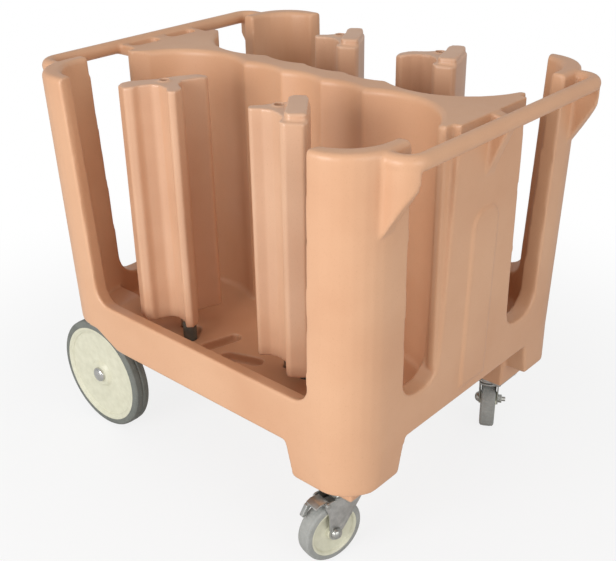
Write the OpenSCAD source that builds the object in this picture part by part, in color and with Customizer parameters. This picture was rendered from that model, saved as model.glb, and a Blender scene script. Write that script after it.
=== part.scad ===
// Plate dispenser cart: a moulded plastic body on two fixed wheels and two braked
// swivel casters, with four divider towers that slide to suit the plates.
// X runs along the cart, the push handle is at +X, and Z is up from the floor.

/* [Body] */
// Length over the corner posts
body_l = 810; // [740:10:900]
// Width over the corner posts
body_w = 720; // [660:10:800]
// Height of the corner posts above the floor
post_top = 832; // [780:4:900]
// How far the spine stays below the post tops
top_step = 10; // [6:1:16]
// Height of the underside of the tray
tray_z = 272; // [266:2:296]
// Thickness of the double-walled tray floor
floor_t = 28; // [24:1:34]
// Height of the side rims above the underside of the tray
rim_h = 101; // [84:1:130]
// Thickness of the double-walled sides and ends
wall_t = 28; // [24:1:34]
// Corner radius in plan, outside
corner_r = 90; // [70:2:110]
// Corner radius in plan, inside
inner_r = 85; // [60:5:100]
// How far the outer faces lean in between the post tops and the tray
draft = 12; // [4:1:16]
// How much the inner faces lean the other way
inner_draft = 8; // [2:1:12]
// Rounding of the outer top edges
edge_r = 9; // [5:1:12]

/* [Side openings] */
// From the middle of the cart to the rear edge of the opening, at the top
open_rear = 288; // [260:1:300]
// From the middle of the cart to the front edge of the opening, at the top
open_front = 308; // [280:1:320]
// How much the opening narrows at each end towards the rim
open_lean = 17; // [8:1:30]
// Radius of the lower corners of the opening
open_r = 35; // [20:1:50]
// How far the opening widens from the middle of the wall to its inner face
open_ease = 14; // [4:1:18]

/* [End walls] */
// Half width of the middle panel between the two slots
slot_in = 100; // [85:1:115]
// Distance from the middle plane to the outer edge of a slot
slot_out = 229; // [200:1:240]
// How much a slot narrows on each side towards its foot
slot_lean = 13; // [6:1:18]
// Height of the rounded foot of a slot
slot_z = 355; // [330:5:400]
// Radius at the foot of a slot
slot_r = 44; // [30:1:46]
// Half width of the raised strip on the front panel
strip_hw = 38; // [25:1:50]
// Height of the top of the raised strip
strip_top = 650; // [600:10:700]
// How far the strip stands out
strip_t = 4; // [2:0.5:6]

/* [Spine] */
// Half thickness of the spine at its ridges
spine_hw = 36; // [32:1:44]
// Half thickness left at the bottom of a plate scallop
spine_min = 16; // [12:1:20]
// Radius of a scallop for an end stack
bay_r = 150; // [130:5:170]
// Radius of a scallop behind the middle stacks
mid_r = 118; // [90:2:140]
// From the middle of the cart to the rear scallops
rear_bay = 217; // [200:1:230]
// From the middle of the cart to the front scallops
front_bay = 229; // [205:1:240]
// Half width of the flare where the spine meets an end wall
flare_hw = 122; // [105:1:135]
// Length of each flare along the cart
flare_l = 92; // [70:1:110]

/* [Bars] */
// Reach of the push handle past the corner posts
front_reach = 54; // [44:1:66]
// Reach of the rear bar past the corner posts
rear_reach = 60; // [48:1:70]
// Radius of both round bars
rail_r = 14; // [11:0.5:16]
// How far the top of a bar stays below the post tops
bar_step = 2; // [0:0.5:8]
// Radius of the bend at each end of a bar, along its middle
bend_r = 30; // [20:1:36]
// Distance from the middle plane to the outer face of an end rib
rib_out = 297; // [280:1:310]
// Thickness of the ribs that carry a bar
rib_t = 25; // [16:1:26]
// Height of a rib where it leaves the end wall
rib_h = 134; // [90:2:150]
// Height of a rib below the bend of a bar
rib_tip = 56; // [36:2:70]
// Thickness of the web between the rear bar and the end wall
web_t = 22; // [14:1:26]
// Depth of the hollows in that web
recess_d = 12; // [6:1:13]

/* [Front legs] */
// Height of the lower edge of a leg
leg_z = 202; // [190:1:220]
// Length of a leg along the cart, at the tray
leg_l = 158; // [130:2:170]
// Width of a leg across the cart, at the tray
leg_w = 148; // [120:1:156]
// How much a leg narrows towards its lower edge
leg_taper = 18; // [8:1:24]
// Length and width of the pedestal that carries a caster
pedestal_l = 104; // [100:1:120]
// Width of the pedestal that carries a caster
pedestal_w = 88; // [84:1:100]

/* [Divider towers] */
// Length of a tower's longest arm from its middle
tower_arm_l = 90; // [76:1:98]
// Height of the underside of a tower above the tray floor
tower_lift = 35; // [28:1:50]
// How far the tower tops stay below the post tops
tower_drop = 14; // [8:1:24]
// How far the block on the back arm stands above the rest of the tower
block_lift = 12; // [4:1:14]
// Length of the tapered round-over at a tower top
tower_edge = 9; // [4:1:12]
// Height of the collar round the hole in a tower top
collar_h = 4; // [2:0.5:6]
// How far a tower slides along its floor slot
tower_travel = 34; // [20:1:40]

/* [Tower fixings] */
// Diameter of the round foot under a tower
foot_d = 27; // [22:0.5:27]
// Width of a foot slot in the tray floor
foot_slot_w = 28; // [27.6:0.2:30]
// Depth of a foot slot
foot_slot_d = 20; // [14:1:22]
// Diameter of the clamp rod
rod_d = 12; // [10:0.5:13]
// Depth of the rod head below the tower top
head_drop = 40; // [30:2:80]
// Diameter of the clamp washer under the tray
washer_d = 40; // [32:1:44]
// Thickness of the clamp washer
washer_t = 4; // [3:0.5:6]
// Across flats of the clamp nut
nut_af = 19; // [17:1:22]
// Height of the clamp nut
nut_h = 11; // [8:1:14]

/* [Rear wheels] */
// Radius of a rear tyre
rear_r = 127; // [120:1:130]
// Width of a rear tyre
rear_w = 38; // [34:1:44]
// Radius of a rear hub
rear_hub_r = 112; // [100:1:116]
// Distance from the middle plane to the outer face of a rear wheel
rear_track = 288; // [280:1:294]
// Distance of the axle from the rear face of the body
axle_inset = 18; // [10:1:40]
// Diameter of the axle
axle_d = 19; // [16:0.5:22]
// Radial running clearance on the axle
run_gap = 0.06; // [0.04:0.01:0.1]
// Diameter of the domed axle cap
cap_d = 34; // [27:1:36]
// How far the domed cap stands out
cap_h = 10; // [7:1:14]
// Depth of the groove in the tread
groove_d = 1.6; // [0.8:0.2:3]

/* [Axle brackets] */
// Thickness of the bracket plate
bracket_t = 5; // [4:0.5:7]
// Length of the flange under the tray
flange_l = 104; // [90:2:120]
// Width of the flange under the tray
flange_w = 46; // [40:1:56]
// Radius of the lobe round the axle
lobe_r = 24; // [20:1:30]

/* [Casters] */
// Height of a caster from the floor to the top of its plate
caster_h = 157; // [154:1:164]
// Radius of a caster wheel
caster_r = 63.5; // [58:0.5:65]
// Width of a caster tyre
caster_w = 32; // [28:1:34]
// Radius of a caster hub
caster_hub_r = 51; // [46:0.5:54]
// Trail from the swivel axis to the wheel axis
trail = 35; // [28:1:40]
// Distance of the swivel axis from the front face of the body
caster_inset = 113; // [96:1:122]
// Distance of the swivel axis from the side face of the body
caster_side_inset = 112; // [96:1:120]
// Angle that the near caster has swung to
near_turn = -103; // [-180:1:180]
// Angle that the far caster has swung to
far_turn = 119; // [-180:1:180]
// Length of the top plate
plate_l = 94; // [86:1:98]
// Width of the top plate
plate_w = 78; // [70:1:82]
// Thickness of the top plate
plate_t = 4; // [3:0.5:6]
// Diameter of the ball race under the plate
race_d = 70; // [60:1:74]
// Thickness of the fork steel
fork_t = 3; // [2.5:0.5:4]
// Gap between the fork and the wheel on each side
fork_gap = 2; // [1.5:0.25:3]
// Diameter of the wheel bolt
bolt_d = 10; // [8:0.5:12]
// Diameter of the plate bolts
plate_bolt_d = 8; // [6:0.5:10]

/* [Brake] */
// Diameter of the pedal pivot pin
brake_pin_d = 6; // [5:0.5:8]
// Width of the pedal plate over the tyre
pedal_w = 30; // [26:1:34]
// Length of the pedal's upper tab beyond its pivot
pedal_l = 26; // [22:1:28]
// Thickness of the pedal steel
pedal_t = 3; // [2:0.5:4]
// Angle that the pedal swings down through
pedal_swing = 7; // [4:1:9]

/* [Hidden] */

body_c = [0.80, 0.59, 0.45];
steel_c = [0.68, 0.68, 0.67];
chrome_c = [0.82, 0.82, 0.82];
hub_c = [0.91, 0.91, 0.83];
tyre_c = [0.50, 0.51, 0.50];
foot_c = [0.42, 0.43, 0.42];

// Running past a face by this much makes a clean cut
over = 2;
// Thickness of a layer that a rounded solid is stretched between
skin = 0.5;
// Gap between faces that slide or turn past each other
seat_gap = 0.3;
// Points in a rounded corner of an outline
arc_n = 6;
// Smoothness of true circles
round_fn = 64;
// Smoothness of the corners of a stretched solid
hull_fn = 32;

floor_z = tray_z + floor_t;
rim_z = tray_z + rim_h;
top_z = post_top - top_step;
bar_z = post_top - bar_step - rail_r;
end_x = body_l / 2;
side_y = body_w / 2;
axle_x = axle_inset - end_x;
axle_z = rear_r;
// The frame's origin is below the middle of the whole cart
origin_x = (rear_r - axle_x - end_x - front_reach) / 2;
caster_x = end_x - caster_inset;
caster_y = side_y - caster_side_inset;
// How deep the walls and the spine are let into the edge of the tray
seat_d = 4;
// Where the side rims end and the corner posts begin
rim_rear = open_rear - open_lean - open_r;
rim_front = open_front - open_lean - open_r;
// Where the end walls are parted between the spine and a corner post
part_y = (slot_in + slot_out) / 2;

// Half the width of an end scallop where it meets its ridges
bay_span = sqrt(bay_r * bay_r - pow(bay_r + spine_min - spine_hw, 2));
// Width of one of the three scallops behind the middle stacks
mid_w = (rear_bay + front_bay - bay_span * 2) / 3;
// Half thickness left at the bottom of those scallops
mid_min = spine_hw - mid_r + sqrt(mid_r * mid_r - mid_w * mid_w / 4);

// Clear space between a rear wheel and its bracket
wheel_gap = 10;
// Distance from the middle plane to the outer face of an axle bracket
bracket_y = rear_track - rear_w - wheel_gap;
// Distance from the middle plane to the raised edge over a rear wheel
arch_in = bracket_y + over;
// Length of the raised edge, length of its slope, and its rise
arch_share = [0.144, 0.09];
arch_l = body_l * arch_share[0];
arch_run = body_l * arch_share[1];
arch_h = 36;

// Points in a rounded corner of a tower's outline
tower_arc_n = 4;
tower_z = floor_z + tower_lift;
tower_top = post_top - tower_drop;
rod_head_d = rod_d * 1.5;
rod_head_h = rod_d * 0.7;
foot_pin_d = foot_d / 3;
foot_pin_l = foot_d;

// Length of the bolts that hold the casters and the axle brackets
plate_bolt_l = 18;
race_h = plate_t * 3;
fork_top = caster_h - plate_t - race_h - seat_gap;
kingpin_d = race_d / 5;
kingpin_head = kingpin_d / 2;
fork_in = caster_w / 2 + fork_gap;
// The end of the wheel bolt that stands out past its nut
bolt_tail = bolt_d * 1.6;
// Place of the pedal pivot from the swivel axis and from the floor
brake_x = trail + caster_r * 0.25;
brake_z = caster_r + sqrt(pow(caster_r + brake_pin_d * 1.35, 2) - pow(brake_x - trail, 2));

// Where each tower stands as shares of the half length and the half width, its turn,
// and which of the three castings it is
tower_shares = [
    [-0.407, -0.597, 0, 0], [0.294, -0.581, 0, 1],
    [-0.318, 0.668, -8, 1], [0.298, 0.688, -18, 2]];
towers = [for (t = tower_shares) [t[0] * end_x, t[1] * side_y, t[2], t[3]]];
// Directions that the towers slide in
slide_dirs = [125, 25, -40, -50];
// Spare foot slots: places as shares of the half length and the half width, and directions
spare_shares = [[-0.178, -0.667, 74], [-0.036, -0.664, 20], [-0.036, 0.664, -20]];
// The star-shaped outlines of the castings, as shares of the longest arm
star_shares = [
    [[-0.73, -0.58], [-0.67, -0.71], [-0.34, -0.84], [-0.20, -0.73],
    [-0.19, -0.57], [-0.06, -0.33], [0.11, -0.27], [0.40, -0.33],
    [0.58, -0.47], [0.71, -0.38], [0.64, -0.13], [0.33, 0.05], [0.21, 0.25],
    [0.29, 0.53], [0.38, 0.76], [0.31, 0.91], [0.11, 0.87], [0.01, 0.67],
    [-0.17, 0.38], [-0.27, 0.07], [-0.53, -0.31]],
    [[-0.68, -0.18], [-0.53, -0.33],
    [-0.32, -0.17], [-0.11, -0.12], [0.11, -0.18], [0.30, -0.29],
    [0.36, -0.38], [0.44, -0.53], [0.58, -0.56], [0.87, -0.32], [0.84, -0.18],
    [0.49, 0.27], [0.29, 0.51], [0.11, 0.69], [-0.07, 0.67], [-0.24, 0.47],
    [-0.36, 0.33], [-0.49, 0.04]],
    [[-0.82, -0.53], [-0.66, -0.70], [-0.51, -0.67], [-0.44, -0.42],
    [-0.29, -0.22], [-0.11, -0.14], [0.11, -0.18], [0.30, -0.29],
    [0.36, -0.38], [0.44, -0.53], [0.58, -0.56], [0.87, -0.32], [0.84, -0.18],
    [0.49, 0.27], [0.29, 0.51], [0.11, 0.69], [-0.07, 0.67], [-0.24, 0.47],
    [-0.36, 0.33], [-0.49, 0.04], [-0.69, -0.22]]];
// The raised block on the long bar of the second and the third casting
block_shares = [
    [-0.19, 0.49], [-0.13, 0.34], [0.11, 0.07], [0.42, -0.36], [0.56, -0.43],
    [0.78, -0.24], [0.80, -0.16], [0.47, 0.24], [0.22, 0.54], [0.07, 0.67], [-0.07, 0.62]];
// Rounding of the outlines, and places of the rod and the foot in each casting
star_r_share = 0.07;
rod_shares = [[-0.06, 0.02], [-0.22, 0.20], [-0.22, 0.20]];
foot_shares = [[0.46, -0.26], [0.35, 0.20], [0.35, 0.20]];

function unit(v) = v / norm(v);
function turn_of(d) = (d + 900) % 360 - 180;
// One corner p1 of an outline, between p0 and p2, as an arc of radius r
function corner(p0, p1, p2, r, n) =
    let (a = unit(p0 - p1), b = unit(p2 - p1), half = acos(a * b) / 2,
         reach = min(r / tan(half), 0.49 * min(norm(p0 - p1), norm(p2 - p1))),
         rr = reach * tan(half), c = p1 + unit(a + b) * rr / sin(half),
         s = p1 + a * reach - c, e = p1 + b * reach - c,
         t0 = atan2(s[1], s[0]), dt = turn_of(atan2(e[1], e[0]) - t0))
    [for (i = [0:n]) c + rr * [cos(t0 + dt * i / n), sin(t0 + dt * i / n)]];
// A closed outline with every corner rounded to r, or to its own entry of the list r
function rounded(pts, r, n = arc_n) =
    [for (i = [0:len(pts) - 1])
        each corner(pts[(i + len(pts) - 1) % len(pts)], pts[i], pts[(i + 1) % len(pts)],
                    is_num(r) ? r : r[i], n)];

module placed() {
    translate([origin_x, 0, 0]) children();
}
// The children, and again mirrored to the far side
module both_sides() {
    children();
    mirror([0, 1, 0]) children();
}
// A solid whose outline stands in the XZ plane, from y0 to y1
module across(y0, y1) {
    translate([0, y1, 0]) rotate([90, 0, 0]) linear_extrude(y1 - y0) children();
}
// A solid whose outline stands in the YZ plane, from x0 to x1
module along(x0, x1) {
    translate([x0, 0, 0]) rotate([90, 0, 90]) linear_extrude(x1 - x0) children();
}
module ring_bar(d, y0, y1) {
    translate([0, y1, 0]) rotate([90, 0, 0]) cylinder(d = d, h = y1 - y0, $fn = round_fn);
}

// Body

// One thin layer of the body's plan, inset from the outer faces
module plan_layer(z, inset, r, t = skin) {
    for (sx = [-1, 1], sy = [-1, 1])
        translate([sx * (end_x - inset - r), sy * (side_y - inset - r), z])
            cylinder(r = r, h = t, $fn = hull_fn);
}
// The leaning outer form, rounded at its top edges and at the tray
module envelope() {
    hull() {
        plan_layer(tray_z, draft + edge_r * 0.7, corner_r - edge_r * 0.7);
        plan_layer(tray_z + edge_r * 0.7, draft, corner_r);
        plan_layer(post_top - edge_r - skin, 0, corner_r);
        plan_layer(post_top - edge_r * 0.5 - skin, edge_r * 0.13, corner_r - edge_r * 0.13);
        plan_layer(post_top - edge_r * 0.13 - skin, edge_r * 0.5, corner_r - edge_r * 0.5);
        plan_layer(post_top - skin, edge_r, corner_r - edge_r);
    }
}
// The well of the tray, open at the top
module well() {
    inset = wall_t + draft + inner_draft;
    hull() {
        plan_layer(floor_z, inset + edge_r, inner_r);
        plan_layer(floor_z + edge_r, inset, inner_r);
        plan_layer(post_top + over, wall_t, inner_r);
    }
}
// The widened mouth of the well, which eases the inner top edges
module well_mouth() {
    hull() {
        plan_layer(post_top - edge_r / 2, wall_t, inner_r);
        plan_layer(post_top, wall_t - edge_r / 2, inner_r);
    }
}
// The outline of a side opening, grown by g
module opening_outline(g) {
    polygon(rounded([
        [-open_rear - g - open_lean * over / rim_h, post_top + over],
        [-open_rear + open_lean - g, rim_z - g], [open_front - open_lean + g, rim_z - g],
        [open_front + g + open_lean * over / rim_h, post_top + over]],
        [skin, open_r, open_r, skin]));
}
// A side opening, which widens from the middle of the wall to its inner face
module side_opening() {
    mid = side_y - wall_t / 2;
    across(mid - skin, side_y + over) opening_outline(0);
    hull() {
        across(mid - skin, mid) opening_outline(0);
        across(side_y - wall_t * 2, side_y - wall_t * 2 + skin) opening_outline(open_ease);
    }
}
module end_slot() {
    along(-end_x - over, end_x + over)
        polygon(rounded([
            [slot_in, post_top + over], [slot_in + slot_lean, slot_z],
            [slot_out - slot_lean, slot_z], [slot_out, post_top + over]],
            [skin, slot_r, slot_r, skin], arc_n * 2));
}
// The cutter of one scallop, whose mouth flares out at the spine's top edge
module scallop(r) {
    e = edge_r;
    rotate_extrude($fn = round_fn * 2)
        polygon([[0, floor_z - seat_d - over], [r - e, floor_z - seat_d - over], [r - e, floor_z],
            [r - e * 0.3, floor_z + e * 0.3], [r, floor_z + e], [r, top_z - e],
            [r + e * 0.13, top_z - e / 2], [r + e / 2, top_z - e * 0.13], [r + e, top_z],
            [r + e, post_top + over], [0, post_top + over]]);
}
module spine_plan() {
    hw = spine_hw;
    x1 = end_x - wall_t / 2;
    half = [[-x1, 0], [-x1, flare_hw], [-end_x + wall_t, flare_hw],
        [-end_x + wall_t + flare_l, hw], [end_x - wall_t - flare_l, hw],
        [end_x - wall_t, flare_hw], [x1, flare_hw], [x1, 0]];
    polygon(half);
    mirror([0, 1]) polygon(half);
}
// The children at each place where a plate scallop is cut into the spine
module at_scallops() {
    both_sides() {
        for (x = [-rear_bay, front_bay])
            translate([x, -spine_min - bay_r, 0]) children(0);
        for (i = [0:2])
            translate([bay_span - rear_bay + mid_w * (i + 0.5), -mid_min - mid_r, 0])
                children(1);
    }
}
// The long middle wall, from height z up
module spine_wall(z) {
    difference() {
        translate([0, 0, z]) linear_extrude(top_z - z) spine_plan();
        at_scallops() {
            scallop(bay_r);
            scallop(mid_r);
        }
    }
}
// The two panels of the tray floor, which the walls and the spine stand round
module floor_panels() {
    inset = wall_t + draft + inner_draft + edge_r;
    difference() {
        hull() plan_layer(floor_z - seat_d - over, inset, inner_r, seat_d + over);
        translate([0, 0, floor_z - seat_d * 2]) linear_extrude(seat_d * 3) difference() {
            spine_plan();
            at_scallops() {
                circle(r = bay_r - edge_r, $fn = round_fn * 2);
                circle(r = mid_r - edge_r, $fn = round_fn * 2);
            }
        }
    }
}

// A round bar that bends back at each end into the corner posts, at the end s of the cart
module rail(s, reach) {
    x = end_x + reach - rail_r;
    y = rib_out - rail_r;
    mirror([s < 0 ? 1 : 0, 0, 0]) translate([0, 0, bar_z]) {
        translate([x, 0, 0]) ring_bar(rail_r * 2, bend_r - y, y - bend_r);
        both_sides() {
            translate([x - bend_r, bend_r - y, 0]) rotate(-90)
                rotate_extrude(angle = 90, $fn = round_fn)
                    translate([bend_r, 0]) circle(r = rail_r, $fn = round_fn);
            translate([end_x - wall_t / 2, -y, 0]) rotate([0, 90, 0])
                cylinder(r = rail_r, h = x - bend_r - end_x + wall_t / 2, $fn = round_fn);
        }
    }
}
// The three upright ribs below a bar: one at each bend and one in the middle
module ribs(s, reach) {
    x = end_x + reach - over;
    y1 = rib_out - over;
    low = bar_z + rail_r - rib_h;
    mirror([s < 0 ? 1 : 0, 0, 0]) {
        both_sides() intersection() {
            across(-y1, rib_t - y1)
                polygon(rounded([[end_x - wall_t / 2, bar_z], [end_x - wall_t / 2, low - wall_t / 2],
                    [end_x - draft / 4, low], [x - rail_r / 2, bar_z + rail_r - rib_tip],
                    [x, bar_z - rail_r], [x, bar_z]],
                    [skin, skin, edge_r, edge_r, rail_r, skin]));
            translate([0, 0, low - wall_t]) linear_extrude(rib_h + wall_t)
                polygon(rounded([[end_x - wall_t, -y1], [x, -y1], [x, 0], [end_x - wall_t, 0]],
                    [skin, bend_r + rail_r - over, skin, skin]));
        }
        across(-rib_t / 2, rib_t / 2)
            polygon([[end_x - wall_t / 2, top_z - over], [end_x - wall_t / 2, low + rail_r],
                [end_x - draft / 4, low + rail_r], [x - rail_r, bar_z - rail_r / 2],
                [x - rail_r, bar_z], [end_x, top_z - over]]);
    }
}
module bar(s, reach) {
    difference() {
        union() {
            rail(s, reach);
            ribs(s, reach);
        }
        envelope();
    }
}
// The web behind the middle of the rear bar, with a soft hollow each side of its rib
module web() {
    x = rear_reach - rail_r;
    translate([-end_x - x, -slot_in, bar_z - web_t + rail_r / 2]) cube([x + wall_t / 2, slot_in * 2, web_t]);
}
module hollows() {
    x0 = -end_x - rear_reach + rail_r * 2 + over;
    both_sides() translate([0, 0, bar_z + rail_r / 2 - recess_d]) linear_extrude(recess_d + over)
        polygon(rounded([[x0, rib_t * 0.6], [-end_x - over, rib_t * 0.6],
            [-end_x - over, slot_in * 0.86], [x0, slot_in * 0.86]], wall_t * 0.4));
}
// The raised strip down the front panel, with a rounded top
module strip() {
    lean = draft * (post_top - strip_top) / (post_top - tray_z);
    foot = draft * (post_top - floor_z) / (post_top - tray_z);
    intersection() {
        across(-strip_hw, strip_hw)
            polygon([[end_x - wall_t, floor_z], [end_x + strip_t - foot, floor_z],
                [end_x + strip_t - lean, strip_top], [end_x - wall_t, strip_top]]);
        along(end_x - wall_t, end_x + front_reach)
            polygon(rounded([[-strip_hw, floor_z], [strip_hw, floor_z],
                [strip_hw, strip_top], [-strip_hw, strip_top]],
                [skin, skin, strip_hw * 0.8, strip_hw * 0.8]));
    }
}
// A leg that tapers down from the tray, and the pedestal inside it
module leg() {
    x1 = end_x - draft;
    y1 = side_y - draft;
    z1 = tray_z + edge_r;
    intersection() {
        across(-side_y, 0)
            polygon(rounded([[x1 - leg_l, z1], [x1 - leg_l + leg_taper, leg_z],
                [x1 - draft * 0.2, leg_z], [x1, z1]], [skin, edge_r, edge_r, skin]));
        along(0, end_x)
            polygon(rounded([[-y1, z1], [-y1 + draft * 0.2, leg_z],
                [-y1 + leg_w - leg_taper, leg_z], [-y1 + leg_w, z1]],
                [skin, edge_r * 0.7, edge_r, skin]));
        translate([0, 0, caster_h]) linear_extrude(tray_z)
            translate([x1 - corner_r, -y1 + corner_r]) union() {
                circle(r = corner_r, $fn = round_fn);
                translate([-leg_l, -corner_r]) square([leg_l, corner_r + leg_w]);
                translate([-leg_l, 0]) square([leg_l + corner_r, leg_w]);
            }
    }
    translate([caster_x - pedestal_l / 2, -caster_y - pedestal_w / 2, caster_h])
        cube([pedestal_l, pedestal_w, tray_z - caster_h + over]);
}
// The hump inside the tray over a rear wheel, and the raised lower edge outside it
module arch_hump() {
    across(arch_in - floor_t / 2, side_y - wall_t)
        polygon(rounded([[-end_x + wall_t, floor_z - over], [arch_l + arch_run - end_x, floor_z - over],
            [arch_l + arch_run - end_x, floor_z], [arch_l - end_x, floor_z + arch_h],
            [-end_x + wall_t, floor_z + arch_h]],
            [skin, skin, skin, edge_r * 2, skin]));
}
module arch_cut() {
    across(arch_in, side_y + over)
        polygon(rounded([[-end_x - over, tray_z - over], [arch_l + arch_run - end_x + over, tray_z - over],
            [arch_l + arch_run - end_x, tray_z], [arch_l - end_x, tray_z + arch_h],
            [-end_x - over, tray_z + arch_h]], [skin, skin, edge_r * 2, edge_r * 3, skin]));
}
// One slot in the tray floor, from its end at p along the direction a
module floor_slot(p, a, l, w) {
    translate(p) rotate(a) {
        circle(d = w, $fn = round_fn);
        translate([l, 0]) circle(d = w, $fn = round_fn);
        translate([0, -w / 2]) square([l, w]);
    }
}
// The region above the seat of the walls, from x0 to x1 and from y0 to y1
module above_seat(x0, x1, y0, y1, z1 = post_top + over) {
    translate([x0, y0, floor_z - seat_d]) cube([x1 - x0, y1 - y0, z1 - floor_z + seat_d]);
}
// The leaning outer walls without their openings
module walls() {
    difference() {
        envelope();
        well();
        well_mouth();
    }
}
module tray() {
    color(body_c) placed() difference() {
        union() {
            intersection() {
                envelope();
                translate([-end_x, -side_y, 0]) cube([body_l, body_w, floor_z - seat_d]);
            }
            floor_panels();
            intersection() {
                both_sides() arch_hump();
                well();
            }
            both_sides() leg();
        }
        both_sides() arch_cut();
        translate([0, 0, floor_z - foot_slot_d]) linear_extrude(foot_slot_d + over) {
            for (i = [0:3])
                floor_slot(foot_at(towers[i]), slide_dirs[i], tower_travel + over, foot_slot_w);
            for (s = spare_shares)
                floor_slot([s[0] * end_x, s[1] * side_y], s[2], tower_travel + foot_d, foot_slot_w);
        }
        translate([0, 0, tray_z - over]) linear_extrude(floor_t + over * 2)
            for (i = [0:3])
                floor_slot(rod_at(towers[i]), slide_dirs[i], tower_travel + over, rod_d + over);
        both_sides() for (p = plate_holes())
            translate([caster_x + p[0], -caster_y + p[1], caster_h - over])
                cylinder(d = plate_bolt_d, h = plate_bolt_l + over * 2, $fn = round_fn);
        both_sides() for (p = bracket_holes())
            translate([p[0], p[1], tray_z - over])
                cylinder(d = plate_bolt_d, h = plate_bolt_l + over * 2, $fn = round_fn);
    }
}
module rim(s) {
    color(body_c) placed() mirror([0, s > 0 ? 0 : 1, 0]) difference() {
        intersection() {
            walls();
            above_seat(-rim_rear, rim_front, part_y, side_y + over, rim_z + over);
        }
        floor_panels();
        side_opening();
    }
}
// A corner post, with half of the low wall below the slot beside it
module post(e, s) {
    color(body_c) placed() mirror([0, s > 0 ? 0 : 1, 0]) difference() {
        intersection() {
            walls();
            if (e < 0) above_seat(-end_x - over, -rim_rear, part_y, side_y + over);
            if (e > 0) above_seat(rim_front, end_x + over, part_y, side_y + over);
        }
        floor_panels();
        side_opening();
        end_slot();
        if (e < 0) arch_cut();
    }
}
// The spine, with the middle panels of both end walls and the strip down the front one
module spine() {
    color(body_c) placed() {
        difference() {
            intersection() {
                walls();
                above_seat(-end_x - over, end_x + over, -part_y, part_y, top_z);
            }
            floor_panels();
            both_sides() end_slot();
        }
        intersection() {
            envelope();
            spine_wall(floor_z - seat_d);
        }
        strip();
    }
}
module rear_bar() {
    color(body_c) placed() difference() {
        union() {
            bar(-1, rear_reach);
            difference() {
                web();
                envelope();
            }
        }
        hollows();
    }
}
module push_handle() {
    color(body_c) placed() bar(1, front_reach);
}

// Divider towers

function spin(p, a) = [p[0] * cos(a) - p[1] * sin(a), p[0] * sin(a) + p[1] * cos(a)];
// A point of a tower's outline, given as shares of its longest arm, in the cart
function tower_pt(t, s) = [t[0], t[1]] + spin(s[t[3]] * tower_arm_l, t[2]);
function rod_at(t) = tower_pt(t, rod_shares);
function foot_at(t) = tower_pt(t, foot_shares);

module in_tower(i) {
    t = towers[i];
    placed() translate([t[0], t[1], 0]) rotate(t[2]) children();
}
module at_rod(i) {
    p = rod_shares[towers[i][3]] * tower_arm_l;
    in_tower(i) translate([p[0], p[1], 0]) children();
}
// A round plug, flat in the middle and falling away towards r, that crowns a tower top
module crown(r, z) {
    rotate_extrude($fn = round_fn * 2)
        polygon([[0, tower_z], [r + over, tower_z], [r + over, z - tower_edge],
            [r * 0.97, z - tower_edge * 0.55], [r * 0.9, z - tower_edge * 0.22],
            [r * 0.8, z - tower_edge * 0.06], [r * 0.68, z], [0, z]]);
}
module tower(i) {
    casting = towers[i][3];
    star = rounded(star_shares[casting] * tower_arm_l, star_r_share * tower_arm_l, tower_arc_n);
    block = rounded(block_shares * tower_arm_l, star_r_share * tower_arm_l, tower_arc_n);
    rod_pt = rod_shares[casting] * tower_arm_l;
    foot_pt = foot_shares[casting] * tower_arm_l;
    color(body_c) in_tower(i) difference() {
        union() {
            intersection() {
                translate([0, 0, tower_z]) linear_extrude(tower_top - tower_z) polygon(star);
                crown(tower_arm_l, tower_top);
            }
            if (casting > 0) intersection() {
                translate([0, 0, tower_top - tower_edge * 2])
                    linear_extrude(tower_edge * 2 + block_lift) polygon(block);
                crown(tower_arm_l, tower_top + block_lift);
            }
            translate([rod_pt[0], rod_pt[1], tower_top - tower_edge])
                cylinder(d = rod_d * 1.9, h = tower_edge + collar_h, $fn = round_fn);
        }
        translate([rod_pt[0], rod_pt[1], 0]) {
            translate([0, 0, tower_z - over])
                cylinder(d = rod_d + seat_gap * 2, h = tower_top, $fn = round_fn);
            translate([0, 0, tower_top - head_drop])
                cylinder(d = rod_head_d + seat_gap * 2, h = head_drop * 2, $fn = round_fn);
        }
        translate([foot_pt[0], foot_pt[1], tower_z - over])
            cylinder(d = foot_pin_d, h = foot_pin_l + over, $fn = round_fn);
    }
}
// A round foot that stands in a floor slot, with a pin up into the tower
module foot(i) {
    foot_pt = foot_shares[towers[i][3]] * tower_arm_l;
    low = floor_z - foot_slot_d + seat_gap;
    color(foot_c) in_tower(i)
        translate([foot_pt[0], foot_pt[1], 0]) rotate_extrude($fn = round_fn)
            polygon([[0, low], [foot_d / 2 - over / 2, low], [foot_d / 2, low + over / 2],
                [foot_d / 2, tower_z], [foot_pin_d / 2, tower_z],
                [foot_pin_d / 2, tower_z + foot_pin_l], [0, tower_z + foot_pin_l]]);
}
// The long rod that clamps a tower to the tray, with its socket head
module rod(i) {
    head_z = tower_top - head_drop;
    low = tray_z - seat_gap - washer_t - nut_h - over * 2;
    color(steel_c) at_rod(i) difference() {
        union() {
            translate([0, 0, low]) cylinder(d = rod_d, h = head_z - low + over, $fn = round_fn);
            translate([0, 0, head_z]) cylinder(d = rod_head_d, h = rod_head_h, $fn = round_fn);
        }
        translate([0, 0, head_z + rod_head_h / 2])
            cylinder(d = rod_d * 0.8, h = rod_head_h, $fn = 6);
    }
}
// The washer and nut that draw the rod tight under the tray
module clamp(i) {
    color(steel_c) at_rod(i) difference() {
        union() {
            translate([0, 0, tray_z - seat_gap - washer_t])
                cylinder(d = washer_d, h = washer_t, $fn = round_fn);
            translate([0, 0, tray_z - seat_gap - washer_t - nut_h])
                cylinder(d = nut_af / cos(30), h = nut_h + skin, $fn = 6);
        }
        translate([0, 0, tray_z / 2]) cylinder(d = rod_d, h = tray_z, $fn = round_fn);
    }
}

// Rear wheels

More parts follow.
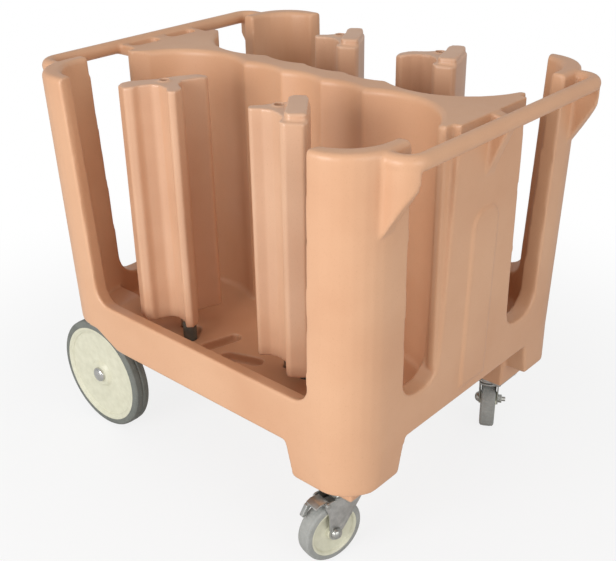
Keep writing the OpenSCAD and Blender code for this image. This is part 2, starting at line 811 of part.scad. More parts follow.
module at_rear(s) {
    placed() translate([axle_x, 0, axle_z]) mirror([0, s > 0 ? 1 : 0, 0]) rotate([90, 0, 0]) children();
}
// The outline of a tyre: r over w, centred on the middle of the wheel
function tyre_half(r, hub, w, groove) =
    let (e = w * 0.2)
    concat([[hub, -w / 2], [r - e * 1.2, -w / 2]],
        [for (i = [0:4]) [r - e * 1.2 + e * 1.2 * sin(i * 22.5) - e * 0.1 * (i == 4 ? 1 : 0),
            -w / 2 + e * (1 - cos(i * 22.5))]],
        groove > 0 ? [[r, -w * 0.2], [r, -w * 0.06], [r - groove, -w * 0.02]] : [[r, -w * 0.2]]);
module tyre_ring(r, hub, w, groove) {
    half = tyre_half(r, hub, w, groove);
    rotate_extrude($fn = round_fn * 2)
        polygon(concat(half, [for (i = [len(half) - 1:-1:0]) [half[i][0], -half[i][1]]]));
}
module rear_tyre(s) {
    color(tyre_c) at_rear(s) translate([0, 0, rear_track - rear_w / 2])
        tyre_ring(rear_r, rear_hub_r, rear_w, groove_d);
}
// The moulded hub: a rim lip, a shallow dish and a boss on each face, round a true bore
module rear_hub(s) {
    r = rear_hub_r;
    w = rear_w / 2;
    bore = axle_d / 2 + run_gap;
    boss = axle_d * 1.7;
    half = [[bore, w * 0.96], [boss * 0.76, w * 0.96], [boss * 0.82, w * 0.92], [boss, w * 0.62],
        [r * 0.42, w * 0.58], [r * 0.86, w * 0.72], [r * 0.89, w * 0.74], [r * 0.9, w * 0.86],
        [r * 0.93, w * 0.9], [r * 0.955, w], [r, w]];
    color(hub_c) at_rear(s) translate([0, 0, rear_track - w])
        rotate_extrude($fn = round_fn * 2)
            polygon(concat(half, [for (i = [len(half) - 1:-1:0]) [half[i][0], -half[i][1]]]));
}
module rear_axle() {
    color(steel_c) placed() translate([axle_x, 0, axle_z])
        ring_bar(axle_d, -rear_track - axle_d * 0.3, rear_track + axle_d * 0.3);
}
// The domed push-on cap over the end of the axle
module axle_cap(s) {
    r = cap_d / 2;
    color(chrome_c) at_rear(s) difference() {
        translate([0, 0, rear_track - rear_w * 0.02 + seat_gap]) rotate_extrude($fn = round_fn)
            polygon(concat([[0, 0], [r, 0], [r, cap_h * 0.25]],
                [for (i = [1:6]) [r * cos(i * 15), cap_h * (0.25 + 0.75 * sin(i * 15))]]));
        translate([0, 0, rear_track - rear_w])
            cylinder(d = axle_d, h = rear_w + axle_d * 0.3, $fn = round_fn);
    }
}
// The tube that keeps a wheel off its bracket
module axle_spacer(s) {
    color(steel_c) at_rear(s) difference() {
        translate([0, 0, bracket_y])
            cylinder(d = axle_d * 1.5, h = wheel_gap + rear_w * 0.02 - seat_gap, $fn = round_fn);
        translate([0, 0, bracket_y - over]) cylinder(d = axle_d, h = rear_w, $fn = round_fn);
    }
}
function bracket_holes() = [for (i = [0, 1])
    [axle_x + flange_l * (0.25 + 0.5 * i), flange_w / 2 + bracket_t / 2 - bracket_y]];
// A plate that hangs from the tray, with a flange on top and a lobe round the axle
module axle_bracket(s) {
    y1 = -bracket_y;
    x1 = axle_x + flange_l;
    color(steel_c) placed() mirror([0, s > 0 ? 1 : 0, 0]) difference() {
        union() {
            across(y1, y1 + bracket_t) {
                translate([axle_x, axle_z]) circle(r = lobe_r, $fn = round_fn);
                polygon([[axle_x - lobe_r, axle_z], [axle_x, tray_z], [x1, tray_z],
                    [x1, tray_z - flange_w / 2], [axle_x + lobe_r * 0.9, axle_z - lobe_r * 0.44]]);
            }
            translate([axle_x, y1, tray_z - bracket_t]) cube([flange_l, flange_w, bracket_t]);
            across(y1, y1 + flange_w)
                polygon([[x1 - bracket_t, tray_z], [x1, tray_z],
                    [x1, tray_z - flange_w / 2], [x1 - bracket_t, tray_z - flange_w / 2]]);
        }
        translate([axle_x, 0, axle_z]) ring_bar(axle_d, -side_y, 0);
        for (p = bracket_holes())
            translate([p[0], p[1], tray_z - bracket_t - over])
                cylinder(d = plate_bolt_d, h = bracket_t + over * 2, $fn = round_fn);
    }
}
// A hexagon-headed bolt from below: its shank stands on the head at the origin
module bolt_up(d, l, head) {
    cylinder(d = d, h = l, $fn = round_fn);
    translate([0, 0, -head]) cylinder(d = d * 1.9, h = head, $fn = 6);
}
module bracket_bolts(s) {
    color(steel_c) placed() mirror([0, s > 0 ? 1 : 0, 0])
        for (p = bracket_holes())
            translate([p[0], p[1], tray_z - bracket_t])
                bolt_up(plate_bolt_d, plate_bolt_l, plate_bolt_d * 0.6);
}

// Casters: built with the swivel axis at the origin and the wheel trailing towards +X

module at_caster(s, swung = true) {
    placed() translate([caster_x, s * caster_y, 0])
        rotate(swung ? (s < 0 ? near_turn : far_turn) : 0) children();
}
function plate_holes() = [for (sx = [-1, 1], sy = [-1, 1])
    [sx * (plate_l / 2 - plate_bolt_d * 1.2), sy * (plate_w / 2 - plate_bolt_d * 1.2)]];
// The top plate with its ball race pressed out below it
module caster_plate(s) {
    color(steel_c) at_caster(s, false) difference() {
        union() {
            translate([0, 0, caster_h - plate_t]) linear_extrude(plate_t)
                polygon(rounded([[-plate_l, -plate_w] / 2, [plate_l, -plate_w] / 2,
                    [plate_l, plate_w] / 2, [-plate_l, plate_w] / 2], plate_bolt_d));
            translate([0, 0, caster_h - plate_t - race_h]) rotate_extrude($fn = round_fn)
                polygon([[0, 0], [race_d * 0.46, 0], [race_d / 2, race_h * 0.3],
                    [race_d / 2, race_h * 0.6], [race_d * 0.44, race_h], [0, race_h]]);
        }
        translate([0, 0, caster_h / 2]) cylinder(d = kingpin_d, h = caster_h, $fn = round_fn);
        for (p = plate_holes())
            translate([p[0], p[1], caster_h - plate_t - over])
                cylinder(d = plate_bolt_d, h = plate_t + over * 2, $fn = round_fn);
    }
}
module plate_bolts(s) {
    color(steel_c) at_caster(s, false) for (p = plate_holes())
        translate([p[0], p[1], caster_h - plate_t])
            bolt_up(plate_bolt_d, plate_bolt_l, plate_bolt_d * 0.6);
}
// The rivet that the fork turns on
module kingpin(s) {
    z0 = fork_top - fork_t - seat_gap;
    color(steel_c) at_caster(s, false) rotate_extrude($fn = round_fn)
        polygon([[0, z0 - kingpin_head], [kingpin_d * 0.6, z0 - kingpin_head],
            [kingpin_d * 0.85, z0 - kingpin_head / 2], [kingpin_d * 0.85, z0], [kingpin_d / 2, z0],
            [kingpin_d / 2, caster_h], [0, caster_h]]);
}
// One side of the fork, from the crown down to the axle, with an ear for the pedal
module fork_side() {
    r = bolt_d * 1.4;
    difference() {
        union() {
            polygon(rounded([[-race_d * 0.36, fork_top], [-race_d * 0.36, fork_top - r],
                [trail - r, caster_r], [trail + r, caster_r], [brake_x, brake_z - brake_pin_d * 1.4],
                [race_d * 0.36, fork_top]], [skin, r, r, r, r / 2, skin]));
            translate([trail, caster_r]) circle(r = r, $fn = round_fn);
            translate([brake_x, brake_z]) circle(r = brake_pin_d * 1.2, $fn = round_fn);
            polygon([[0, fork_top], [race_d * 0.36, fork_top], [brake_x, brake_z + brake_pin_d * 1.2],
                [brake_x + brake_pin_d, brake_z - brake_pin_d * 0.7], [trail, caster_r]]);
        }
        translate([trail, caster_r]) circle(d = bolt_d, $fn = round_fn);
        translate([brake_x, brake_z]) circle(d = brake_pin_d, $fn = round_fn);
    }
}
module fork(s) {
    color(steel_c) at_caster(s) difference() {
        union() {
            for (y = [-fork_in - fork_t, fork_in]) across(y, y + fork_t) fork_side();
            translate([0, 0, fork_top - fork_t]) linear_extrude(fork_t) intersection() {
                circle(d = race_d, $fn = round_fn);
                square([race_d, (fork_in + fork_t) * 2], center = true);
            }
        }
        translate([0, 0, fork_top - fork_t - over])
            cylinder(d = kingpin_d + run_gap * 2, h = fork_t + over * 2, $fn = round_fn);
    }
}
module at_wheel(s) {
    at_caster(s) translate([trail, 0, caster_r]) rotate([90, 0, 0]) children();
}
module caster_tyre(s) {
    color(tyre_c) at_wheel(s) tyre_ring(caster_r, caster_hub_r, caster_w, 0);
}
module caster_hub(s) {
    r = caster_hub_r;
    w = caster_w / 2;
    bore = bolt_d / 2 + run_gap;
    boss = bolt_d * 1.5;
    half = [[bore, w + fork_gap - seat_gap], [boss, w + fork_gap - seat_gap], [boss + skin, w * 0.9],
        [boss + skin * 2, w * 0.6], [r * 0.5, w * 0.5], [r * 0.86, w * 0.66],
        [r * 0.9, w * 0.9], [r * 0.94, w], [r, w]];
    color(hub_c) at_wheel(s) rotate_extrude($fn = round_fn * 2)
        polygon(concat(half, [for (i = [len(half) - 1:-1:0]) [half[i][0], -half[i][1]]]));
}
module wheel_bolt(s) {
    out = fork_in + fork_t;
    color(steel_c) at_wheel(s) mirror([0, 0, 1]) {
        translate([0, 0, -out - bolt_tail]) cylinder(d = bolt_d, h = out * 2 + bolt_tail, $fn = round_fn);
        translate([0, 0, out]) rotate_extrude($fn = round_fn)
            polygon(concat([[0, 0], [bolt_d * 1.15, 0], [bolt_d * 1.15, bolt_d * 0.2]],
                [for (i = [1:6]) bolt_d * [1.05 * cos(i * 15), 0.2 + 0.75 * sin(i * 15)]]));
    }
}
module wheel_nut(s) {
    out = fork_in + fork_t;
    color(steel_c) at_wheel(s) mirror([0, 0, 1]) difference() {
        translate([0, 0, -out - bolt_d * 0.8]) cylinder(d = bolt_d * 1.85, h = bolt_d * 0.8, $fn = 6);
        translate([0, 0, -out * 2 - bolt_tail]) cylinder(d = bolt_d, h = out * 2 + bolt_tail, $fn = round_fn);
    }
}
module at_pedal(s) {
    at_caster(s) translate([brake_x, 0, brake_z]) children();
}
module brake_pin(s) {
    out = fork_in + fork_t;
    color(steel_c) at_pedal(s) {
        ring_bar(brake_pin_d, -out, out);
        for (y = [-out - brake_pin_d / 4, out]) ring_bar(brake_pin_d * 1.6, y, y + brake_pin_d / 4);
    }
}
// The pedal: a sleeve on the pin, a bent tab over the tyre and a smaller one to let go
module brake_pedal(s) {
    r = brake_pin_d / 2 + run_gap;
    o = r + pedal_t;
    l = pedal_l;
    color(steel_c) at_pedal(s) difference() {
        union() {
            ring_bar(o * 2, -pedal_w / 2, pedal_w / 2);
            across(-pedal_w / 2, pedal_w / 2)
                polygon(rounded([[0, o - pedal_t], [l * 0.55, o - pedal_t * 0.9], [l * 0.92, -l * 0.06],
                    [l, -l * 0.02], [l * 0.98, l * 0.08], [l * 0.62, o + pedal_t * 0.2], [0, o]], skin));
            across(-pedal_w / 2, -pedal_w / 2 + pedal_t * 3)
                polygon(rounded([[l * 0.3, 0], [l * 0.92, -l * 0.31], [l * 1.38, -l * 0.92],
                    [l * 1.62, -l * 0.85], [l * 1.15, -l * 0.06], [l * 0.46, l * 0.2]], pedal_t));
        }
        ring_bar(r * 2, -pedal_w, pedal_w);
    }
}

tray();
rim(-1);  // near_rim
rim(1);  // far_rim
post(-1, -1);  // near_rear_post
post(1, -1);  // near_front_post
post(-1, 1);  // far_rear_post
post(1, 1);  // far_front_post
spine();
rear_bar();
push_handle();
tower(0);  // near_rear_tower
tower(1);  // near_front_tower
tower(2);  // far_rear_tower
tower(3);  // far_front_tower
foot(0);  // near_rear_foot
foot(1);  // near_front_foot
foot(2);  // far_rear_foot
foot(3);  // far_front_foot
rod(0);  // near_rear_rod
rod(1);  // near_front_rod
rod(2);  // far_rear_rod
rod(3);  // far_front_rod
clamp(0);  // near_rear_clamp
clamp(1);  // near_front_clamp
clamp(2);  // far_rear_clamp
clamp(3);  // far_front_clamp
rear_axle();
axle_bracket(-1);  // near_axle_bracket
axle_bracket(1);  // far_axle_bracket
bracket_bolts(-1);  // near_bracket_bolts
bracket_bolts(1);  // far_bracket_bolts
axle_spacer(-1);  // near_axle_spacer
axle_spacer(1);  // far_axle_spacer
axle_cap(-1);  // near_axle_cap
axle_cap(1);  // far_axle_cap
rear_hub(-1);  // near_rear_hub
rear_hub(1);  // far_rear_hub
rear_tyre(-1);  // near_rear_tyre
rear_tyre(1);  // far_rear_tyre
caster_plate(-1);  // near_caster_plate
caster_plate(1);  // far_caster_plate
plate_bolts(-1);  // near_plate_bolts
plate_bolts(1);  // far_plate_bolts
kingpin(-1);  // near_kingpin
kingpin(1);  // far_kingpin
fork(-1);  // near_fork
fork(1);  // far_fork
caster_hub(-1);  // near_caster_hub
caster_hub(1);  // far_caster_hub
caster_tyre(-1);  // near_caster_tyre
caster_tyre(1);  // far_caster_tyre
wheel_bolt(-1);  // near_wheel_bolt
wheel_bolt(1);  // far_wheel_bolt
wheel_nut(-1);  // near_wheel_nut
wheel_nut(1);  // far_wheel_nut
brake_pin(-1);  // near_brake_pin
brake_pin(1);  // far_brake_pin
brake_pedal(-1);  // near_brake_pedal
brake_pedal(1);  // far_brake_pedal
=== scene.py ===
# A plate dispenser cart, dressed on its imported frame: moulded body, divider towers,
# rear wheels on an axle, and braked swivel casters. Lengths are metres, +Z is up.
import math

import bpy
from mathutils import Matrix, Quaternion, Vector


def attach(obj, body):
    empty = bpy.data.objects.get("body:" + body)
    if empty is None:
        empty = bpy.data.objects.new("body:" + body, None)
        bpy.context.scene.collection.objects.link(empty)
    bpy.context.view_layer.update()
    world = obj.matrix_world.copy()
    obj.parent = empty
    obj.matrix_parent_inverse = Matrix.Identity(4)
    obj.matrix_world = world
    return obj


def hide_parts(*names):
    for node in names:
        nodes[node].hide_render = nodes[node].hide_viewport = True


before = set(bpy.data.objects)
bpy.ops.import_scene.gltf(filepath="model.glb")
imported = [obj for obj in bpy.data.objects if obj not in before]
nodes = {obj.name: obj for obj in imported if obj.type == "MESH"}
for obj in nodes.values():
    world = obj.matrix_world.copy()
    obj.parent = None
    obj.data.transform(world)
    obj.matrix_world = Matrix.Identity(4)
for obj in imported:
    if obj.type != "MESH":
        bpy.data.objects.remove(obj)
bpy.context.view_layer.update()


# Moulded body
# One piece of rotationally moulded polyethylene: tray, rims, posts, slotted ends, spine, bars and legs.
# The CAD has it in ten nodes that meet face to face, and here they are joined again. The mould gives
# it soft rounded edges, a faint orange peel and slightly uneven walls.
def srgb(code):
    """A hex colour such as D9A273, turned to linear light."""
    parts = [int(code[i:i + 2], 16) / 255 for i in (0, 2, 4)]
    return tuple(p / 12.92 if p < 0.04045 else ((p + 0.055) / 1.055) ** 2.4 for p in parts) + (1.0,)


def add(tree, kind, values=None, links=None, **settings):
    """One node, with the values of its sockets, what feeds them, and its own settings."""
    made = tree.nodes.new(kind)
    for name, value in settings.items():
        setattr(made, name, value)
    for name, value in (values or {}).items():
        made.inputs[name].default_value = value
    for name, source in (links or {}).items():
        tree.links.new(source, made.inputs[name])
    return made


def new_material(name):
    made = bpy.data.materials.new(name)
    made.use_nodes = True
    made.node_tree.nodes.clear()
    return made


def finish_material(material, shader):
    add(material.node_tree, "ShaderNodeOutputMaterial", links={"Surface": shader.outputs["BSDF"]})
    return material


def blend_stops(tree, factor, stops):
    """A colour ramp over the factor, from (place, hex colour) pairs."""
    ramp = add(tree, "ShaderNodeValToRGB", links={"Fac": factor})
    points = ramp.color_ramp.elements
    while len(points) < len(stops):
        points.new(0.5)
    for point, (place, code) in zip(points, stops):
        point.position, point.color = place, srgb(code)
    return ramp.outputs["Color"]


def moulded_plastic(name, low, high, edge_highlight, dust, rough):
    """Rotomoulded polyethylene, as the mould leaves it: waxy, softly glossy, with a faint orange peel about 3
    mm across and walls that wave a little; its sharp convex edges get a painted highlight, paler in patches.
    The hex colours are the two ends of its tone, its painted edge highlight and its fine flecks."""
    material = new_material(name)
    tree = material.node_tree
    place = add(tree, "ShaderNodeTexCoord").outputs["Object"]
    cloud = add(tree, "ShaderNodeTexNoise", {"Scale": 5.0, "Detail": 3.0, "Roughness": 0.55}, {"Vector": place})
    tone = blend_stops(tree, cloud.outputs["Fac"], [(0.3, low), (0.7, high)])
    fleck = add(tree, "ShaderNodeTexNoise", {"Scale": 420.0, "Detail": 2.0}, {"Vector": place})
    fleck_share = add(tree, "ShaderNodeMapRange", {"From Min": 0.58, "From Max": 0.78, "To Max": 0.35},
                      {"Value": fleck.outputs["Fac"]})
    flecked = add(tree, "ShaderNodeMix", {"B": srgb(dust)},
                  {"Factor": fleck_share.outputs["Result"], "A": tone}, data_type="RGBA")
    shape = add(tree, "ShaderNodeNewGeometry")
    # painted highlight: sharp convex edges, found by pointiness and broken into patches, are mixed towards the
    # paler edge colour
    edge_highlight_mask = add(tree, "ShaderNodeMapRange", {"From Min": 0.52, "From Max": 0.62, "To Max": 0.55},
              {"Value": shape.outputs["Pointiness"]})
    patch = add(tree, "ShaderNodeTexNoise", {"Scale": 26.0, "Detail": 4.0, "Roughness": 0.65},
                {"Vector": place})
    patchy_edge_highlight = add(tree, "ShaderNodeMath", links={0: edge_highlight_mask.outputs["Result"], 1: patch.outputs["Fac"]},
                    operation="MULTIPLY")
    edge_highlighted_colour = add(tree, "ShaderNodeMix", {"B": srgb(edge_highlight)},
                      {"Factor": patchy_edge_highlight.outputs["Value"], "A": flecked.outputs["Result"]}, data_type="RGBA")
    wave = add(tree, "ShaderNodeTexNoise", {"Scale": 9.0, "Detail": 1.0}, {"Vector": place})
    peel = add(tree, "ShaderNodeTexNoise", {"Scale": 330.0, "Detail": 2.0, "Roughness": 0.6}, {"Vector": place})
    waved = add(tree, "ShaderNodeBump", {"Strength": 0.25, "Distance": 0.004}, {"Height": wave.outputs["Fac"]})
    skin = add(tree, "ShaderNodeBump", {"Strength": 0.10, "Distance": 0.0006},
               {"Height": peel.outputs["Fac"], "Normal": waved.outputs["Normal"]})
    spread = 0.08
    gloss = add(tree, "ShaderNodeMapRange", {"To Min": rough - spread, "To Max": rough + spread},
                {"Value": patch.outputs["Fac"]})
    shader = add(tree, "ShaderNodeBsdfPrincipled", {"IOR": 1.5},
                 {"Base Color": edge_highlighted_colour.outputs["Result"], "Roughness": gloss.outputs["Result"],
                  "Normal": skin.outputs["Normal"]})
    return finish_material(material, shader)


# the third colour is the painted highlight on the body's convex edges
body_plastic = moulded_plastic("rotomoulded tan polyethylene", "CE9C78", "D7A884", "EAC8AC", "BE8E6A", 0.4)


def melted(names, name, voxel, rounds, share, angle=60):
    """One seamless copy of one or more CAD nodes, with its edges melted as a mould leaves them:
    remeshed in voxels (m), eased over some rounds and thinned to a share of its faces."""
    bpy.ops.object.select_all(action="DESELECT")
    for node in names:
        mesh = nodes[node].data.copy()
        mesh.materials.clear()
        part = bpy.data.objects.new(name, mesh)
        bpy.context.scene.collection.objects.link(part)
        part.select_set(True)
        if node == names[0]:
            piece = part
    bpy.context.view_layer.objects.active = piece
    bpy.ops.object.join()
    bpy.ops.object.mode_set(mode="EDIT")
    bpy.ops.mesh.select_all(action="SELECT")
    weld = 0.00002
    bpy.ops.mesh.remove_doubles(threshold=weld)
    bpy.ops.object.mode_set(mode="OBJECT")
    melt = piece.modifiers.new("Melt", "REMESH")
    melt.mode, melt.voxel_size, melt.use_smooth_shade = "VOXEL", voxel, True
    ease = piece.modifiers.new("Ease", "SMOOTH")
    ease.factor, ease.iterations = 0.5, rounds
    thin = piece.modifiers.new("Thin", "DECIMATE")
    thin.ratio = share
    for modifier in ("Melt", "Ease", "Thin"):
        bpy.ops.object.modifier_apply(modifier=modifier)
    bpy.ops.object.shade_smooth_by_angle(angle=math.radians(angle))
    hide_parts(*names)
    return piece


posts = [side + "_" + end + "_post" for side in ("near", "far") for end in ("rear", "front")]
moulding = ["tray", "spine", "near_rim", "far_rim", "rear_bar", "push_handle"] + posts
body = melted(moulding, "moulded_body", 0.003, 7, 0.15)
body.data.materials.append(body_plastic)
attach(body, "cart")


# Divider towers
# Four three-armed towers of the same plastic, moulded separately, that keep the plate stacks upright.
# They are glossier than the body, with soft rounded arms.
# the third colour is the painted highlight on the towers' convex edges
tower_plastic = moulded_plastic("moulded tan polyethylene", "CC9E7E", "D8AD8D", "EDD0B8", "BE9072", 0.32)
for place in ("near_rear", "near_front", "far_rear", "far_front"):
    tower = melted([place + "_tower"], place + "_divider_tower", 0.0025, 4, 0.3)
    tower.data.materials.append(tower_plastic)
    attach(tower, place + "_divider")


# Tower feet
# Round grey nylon feet that stand in the floor slots and carry the foot of each tower.
def nylon(name, low, high, rough):
    """Moulded nylon or hard rubber: an even dull surface with a fine grain and a faint mottle in its tone and
    gloss.
    """
    material = new_material(name)
    tree = material.node_tree
    place = add(tree, "ShaderNodeTexCoord").outputs["Object"]
    cloud = add(tree, "ShaderNodeTexNoise", {"Scale": 60.0, "Detail": 4.0, "Roughness": 0.6}, {"Vector": place})
    tone = blend_stops(tree, cloud.outputs["Fac"], [(0.35, low), (0.68, high)])
    grain = add(tree, "ShaderNodeTexNoise", {"Scale": 900.0, "Detail": 2.0}, {"Vector": place})
    rough_spread = add(tree, "ShaderNodeMapRange", {"To Min": rough - 0.06, "To Max": rough + 0.08},
                       {"Value": cloud.outputs["Fac"]})
    skin = add(tree, "ShaderNodeBump", {"Strength": 0.15, "Distance": 0.0004}, {"Height": grain.outputs["Fac"]})
    shader = add(tree, "ShaderNodeBsdfPrincipled", {"IOR": 1.5},
                 {"Base Color": tone, "Roughness": rough_spread.outputs["Result"],
                  "Normal": skin.outputs["Normal"]})
    return finish_material(material, shader)


def eased(node, name, material, body, width=0.0006, angle=32):
    """A merged copy of a CAD node with a fine bevel (m) on each edge sharper than the angle (degrees),
    as a pressed, turned or moulded part has."""
    mesh = nodes[node].data.copy()
    mesh.materials.clear()
    piece = bpy.data.objects.new(name, mesh)
    bpy.context.scene.collection.objects.link(piece)
    bpy.ops.object.select_all(action="DESELECT")
    piece.select_set(True)
    bpy.context.view_layer.objects.active = piece
    bpy.ops.object.mode_set(mode="EDIT")
    bpy.ops.mesh.select_all(action="SELECT")
    weld, flat = 0.00001, math.radians(1)
    bpy.ops.mesh.remove_doubles(threshold=weld)
    bpy.ops.mesh.dissolve_limited(angle_limit=flat)
    bpy.ops.object.mode_set(mode="OBJECT")
    edge = piece.modifiers.new("Edge", "BEVEL")
    edge.width, edge.segments = width, 2
    edge.limit_method, edge.angle_limit = "ANGLE", math.radians(angle)
    bpy.ops.object.modifier_apply(modifier="Edge")
    bpy.ops.object.shade_smooth_by_angle(angle=math.radians(angle))
    piece.data.materials.append(material)
    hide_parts(node)
    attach(piece, body)
    return piece


foot_nylon = nylon("moulded grey nylon", "4B504A", "5E635C", 0.5)
for place in ("near_rear", "near_front", "far_rear", "far_front"):
    eased(place + "_foot", place + "_round_foot", foot_nylon, place + "_divider", 0.001)


# Tower rods, washers and nuts
# Zinc-plated steel: a socket-headed rod down through each tower, drawn tight by a nut under the tray.
def plated_steel(name, low, high, rough, grain_scale):
    """Zinc- or nickel-plated steel: a bright metal with faint clouds in the plating and fine scratches."""
    material = new_material(name)
    tree = material.node_tree
    place = add(tree, "ShaderNodeTexCoord").outputs["Object"]
    cloud = add(tree, "ShaderNodeTexNoise", {"Scale": 70.0, "Detail": 4.0, "Roughness": 0.6}, {"Vector": place})
    tone = blend_stops(tree, cloud.outputs["Fac"], [(0.32, low), (0.7, high)])
    grain = add(tree, "ShaderNodeTexNoise", {"Scale": grain_scale, "Detail": 3.0}, {"Vector": place})
    rough_spread = add(tree, "ShaderNodeMapRange", {"To Min": rough - 0.07, "To Max": rough + 0.1},
                       {"Value": cloud.outputs["Fac"]})
    skin = add(tree, "ShaderNodeBump", {"Strength": 0.08, "Distance": 0.0003}, {"Height": grain.outputs["Fac"]})
    shader = add(tree, "ShaderNodeBsdfPrincipled", {"Metallic": 1.0},
                 {"Base Color": tone, "Roughness": rough_spread.outputs["Result"],
                  "Normal": skin.outputs["Normal"]})
    return finish_material(material, shader)


fastener_steel = plated_steel("zinc-plated fasteners", "A9A9A4", "C4C4BF", 0.34, 800.0)
for place in ("near_rear", "near_front", "far_rear", "far_front"):
    eased(place + "_rod", place + "_clamp_rod", fastener_steel, place + "_divider")
    eased(place + "_clamp", place + "_washer_and_nut", fastener_steel, place + "_divider",
          0.0008)


# Rear axle and its brackets
# A plain steel axle in two galvanised steel brackets bolted under the tray, with a spacer tube each side.
bracket_steel = plated_steel("galvanised steel plate", "9B9E9C", "B8BAB6", 0.45, 500.0)
eased("rear_axle", "axle_bar", fastener_steel, "cart", 0.0015)
for side in ("near", "far"):
    eased(side + "_axle_bracket", side + "_hanging_bracket", bracket_steel, "cart", 0.001)
    eased(side + "_bracket_bolts", side + "_bracket_hex_bolts", fastener_steel, "cart")
    eased(side + "_axle_spacer", side + "_spacer_tube", fastener_steel, "cart")


# Rear wheels
# Cream polypropylene hubs moulded in one piece, grey non-marking rubber tyres, and bright pressed axle caps.
def rubber(name, low, high, dust):
    """Non-marking grey rubber: dull, slightly dusty, with a faint mould grain and scuffed tread."""
    material = new_material(name)
    tree = material.node_tree
    place = add(tree, "ShaderNodeTexCoord").outputs["Object"]
    cloud = add(tree, "ShaderNodeTexNoise", {"Scale": 35.0, "Detail": 5.0, "Roughness": 0.6}, {"Vector": place})
    tone = blend_stops(tree, cloud.outputs["Fac"], [(0.35, low), (0.7, high)])
    speck = add(tree, "ShaderNodeTexNoise", {"Scale": 260.0, "Detail": 3.0}, {"Vector": place})
    speck_share = add(tree, "ShaderNodeMapRange", {"From Min": 0.55, "From Max": 0.75, "To Max": 0.5},
                      {"Value": speck.outputs["Fac"]})
    dusty = add(tree, "ShaderNodeMix", {"B": srgb(dust)},
                {"Factor": speck_share.outputs["Result"], "A": tone}, data_type="RGBA")
    skin = add(tree, "ShaderNodeBump", {"Strength": 0.2, "Distance": 0.0005}, {"Height": speck.outputs["Fac"]})
    rough_spread = add(tree, "ShaderNodeMapRange", {"To Min": 0.5, "To Max": 0.72},
                       {"Value": cloud.outputs["Fac"]})
    shader = add(tree, "ShaderNodeBsdfPrincipled", {"IOR": 1.5},
                 {"Base Color": dusty.outputs["Result"], "Roughness": rough_spread.outputs["Result"],
                  "Normal": skin.outputs["Normal"]})
    return finish_material(material, shader)


hub_plastic = nylon("moulded cream polypropylene", "D0CEB7", "DBD9C3", 0.36)
rear_rubber = rubber("grey rubber tyre", "686B66", "787B75", "8A8C86")
cap_steel = plated_steel("bright nickel-plated cap", "C9C9C6", "DADAD8", 0.16, 900.0)
for side in ("near", "far"):
    eased(side + "_rear_hub", side + "_cream_hub", hub_plastic, side + "_rear_wheel", 0.0012, 20)
    eased(side + "_rear_tyre", side + "_grey_tyre", rear_rubber, side + "_rear_wheel", 0.0005, 25)
    eased(side + "_axle_cap", side + "_domed_cap", cap_steel, "cart", 0.0005, 25)


# Caster plates and forks
# Zinc-plated pressed steel: a bolted top plate with its ball race, and the fork that swivels under it.
caster_steel = plated_steel("zinc-plated pressed steel", "B2B3B0", "CFCFCC", 0.3, 700.0)
for side in ("near", "far"):
    eased(side + "_caster_plate", side + "_top_plate", caster_steel, "cart", 0.001)
    eased(side + "_plate_bolts", side + "_plate_hex_bolts", fastener_steel, "cart")
    eased(side + "_kingpin", side + "_king_rivet", caster_steel, "cart", 0.0008)
    eased(side + "_fork", side + "_pressed_fork", caster_steel, side + "_caster", 0.0012)
    eased(side + "_wheel_bolt", side + "_caster_axle_bolt", fastener_steel, side + "_caster")
    eased(side + "_wheel_nut", side + "_caster_lock_nut", fastener_steel, side + "_caster")


# Caster wheels
# The same cream hub and a paler grey rubber tyre, smaller.
caster_rubber = rubber("pale grey rubber tyre", "92938F", "A2A39F", "B4B4B0")
for side in ("near", "far"):
    eased(side + "_caster_hub", side + "_small_cream_hub", hub_plastic, side + "_caster_wheel",
          0.0008, 20)
    eased(side + "_caster_tyre", side + "_small_grey_tyre", caster_rubber, side + "_caster_wheel",
          0.0005, 25)


# Brakes
# A bent steel pedal over each caster wheel, on a pin through the fork's ears.
for side in ("near", "far"):
    eased(side + "_brake_pin", side + "_pedal_pin", fastener_steel, side + "_caster")
    eased(side + "_brake_pedal", side + "_bent_pedal", caster_steel, side + "_brake", 0.0008)


# Floor, light and camera
# A plain white floor that fades into a white surround, under a wide soft key lamp on the near side.
# The camera sees the paper lit from behind, wholly so away from the cart, where no shadow falls.
white = new_material("white paper sweep")
tree = white.node_tree
paper = add(tree, "ShaderNodeBsdfDiffuse", {"Color": srgb("D8D8D8")})
backlit = add(tree, "ShaderNodeEmission", {"Color": srgb("FFFFFF"), "Strength": 1.0})
place = add(tree, "ShaderNodeTexCoord").outputs["Object"]
away = add(tree, "ShaderNodeVectorMath", links={0: place}, operation="LENGTH")
glow = add(tree, "ShaderNodeMapRange", {"From Min": 0.6, "From Max": 1.5, "To Min": 0.82, "To Max": 1.0},
           {"Value": away.outputs["Value"]}, interpolation_type="SMOOTHSTEP")
seen = add(tree, "ShaderNodeLightPath")
backlit_share = add(tree, "ShaderNodeMath", operation="MULTIPLY",
                    links={0: seen.outputs["Is Camera Ray"], 1: glow.outputs["Result"]})
sheet = add(tree, "ShaderNodeMixShader",
            links={0: backlit_share.outputs["Value"], 1: paper.outputs["BSDF"], 2: backlit.outputs["Emission"]})
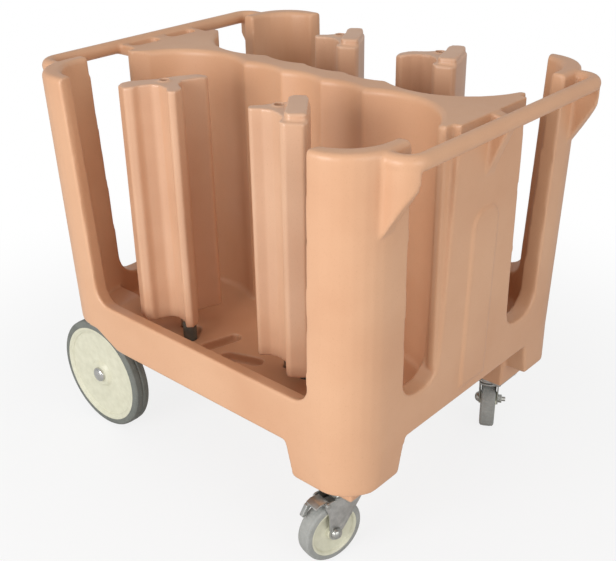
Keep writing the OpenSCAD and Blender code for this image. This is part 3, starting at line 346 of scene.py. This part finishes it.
add(tree, "ShaderNodeOutputMaterial", links={"Surface": sheet.outputs["Shader"]})
bpy.ops.mesh.primitive_circle_add(vertices=64, radius=6.0, fill_type="NGON", location=(0, 0, 0))
floor = bpy.context.object
floor.name = "floor"
floor.data.materials.append(white)

world = bpy.data.worlds.new("studio")
bpy.context.scene.world = world
world.use_nodes = True
world.node_tree.nodes.clear()
tree = world.node_tree
rays = add(tree, "ShaderNodeLightPath")
room = add(tree, "ShaderNodeBackground", {"Color": srgb("FFFFFF"), "Strength": 0.55})
backdrop = add(tree, "ShaderNodeBackground", {"Color": srgb("FFFFFF"), "Strength": 1.0})
pick = add(tree, "ShaderNodeMixShader",
           links={0: rays.outputs["Is Camera Ray"], 1: room.outputs[0], 2: backdrop.outputs[0]})
add(tree, "ShaderNodeOutputWorld", links={"Surface": pick.outputs[0]})


def lamp(name, spot, aim, size, watts):
    bpy.ops.object.light_add(type="AREA", location=spot)
    made = bpy.context.object
    made.name = name
    made.data.shape, made.data.size, made.data.size_y = "RECTANGLE", size[0], size[1]
    made.data.energy = watts
    made.rotation_mode = "QUATERNION"
    made.rotation_quaternion = (Vector(aim) - Vector(spot)).to_track_quat("-Z", "Y")
    return made


# name, place, aim, size (m) and power (W)
lamp("key", (0.0, -3.0, 1.35), (0.1, 0.0, 0.6), (1.8, 1.4), 57)
lamp("fill", (3.4, -1.0, 1.6), (0.0, 0.0, 0.45), (2.0, 2.0), 36)
lamp("top", (0.3, -0.3, 3.2), (0.0, 0.0, 0.4), (2.4, 2.4), 4)

# the camera of the photo, as its corners and wheels give it
eye = (1.2447, -1.3651, 1.3116)
look = (-0.59659, 0.66117, -0.45490)
roll_deg = -0.93
bpy.ops.object.camera_add(location=eye)
camera = bpy.context.object
bpy.context.scene.camera = camera
camera.data.sensor_width, camera.data.lens = 36.0, 57.59
camera.rotation_mode = "QUATERNION"
level = Vector(look).to_track_quat("-Z", "Y")
camera.rotation_quaternion = level @ Quaternion((0, 0, 1), math.radians(roll_deg))

bpy.context.scene.view_settings.view_transform = "Standard"
